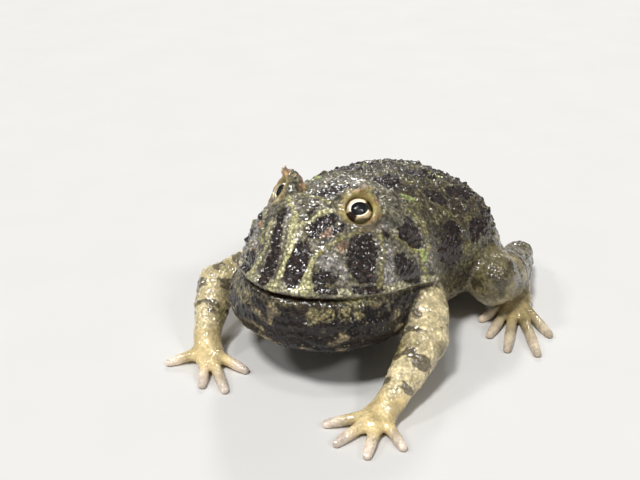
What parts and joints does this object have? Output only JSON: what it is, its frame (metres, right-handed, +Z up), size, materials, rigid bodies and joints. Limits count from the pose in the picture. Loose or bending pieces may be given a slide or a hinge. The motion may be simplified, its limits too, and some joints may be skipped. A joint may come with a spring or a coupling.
{
  "type": "argentine horned frog figure",
  "caption": "Life-size horned frog sitting with its head raised and its mouth slightly open, on spread hands and feet.",
  "frame": {"origin": "middle of the flat on which the belly rests, on the floor and on the mid-plane", "axes": "+Z up; the frog faces -Y; its left side is +X"},
  "size_m": [0.123, 0.1268, 0.0591],
  "materials": {
    "face_skin": "wet, glossy, granular amphibian skin in dark brown, olive and pale green",
    "throat_skin": "wet, glossy, wrinkled amphibian skin in dark brown with yellow patches",
    "back_skin": "wet, glossy, warty amphibian skin with dark blotches bordered in pale green",
    "lid_skin": "wet, glossy, olive-yellow eyelid skin",
    "limb_skin": "wet, glossy, cream-yellow skin with olive and dark bars",
    "iris": "wet polished eyeball, pale gold iris with a dark pupil"
  },
  "bodies": {
    "root": {"head": "face_skin", "lower_jaw": "throat_skin", "trunk": "back_skin", "horned_lid_left": "lid_skin", "horned_lid_right": "lid_skin", "eye_left": "iris", "eye_right": "iris", "upper_arm_left": "limb_skin", "upper_arm_right": "limb_skin", "forearm_left": "limb_skin", "forearm_right": "limb_skin", "hand_left": "limb_skin", "hand_right": "limb_skin", "thigh_left": "limb_skin", "thigh_right": "limb_skin", "shank_left": "limb_skin", "shank_right": "limb_skin", "foot_left": "limb_skin", "foot_right": "limb_skin"}
  },
  "joints": []
}
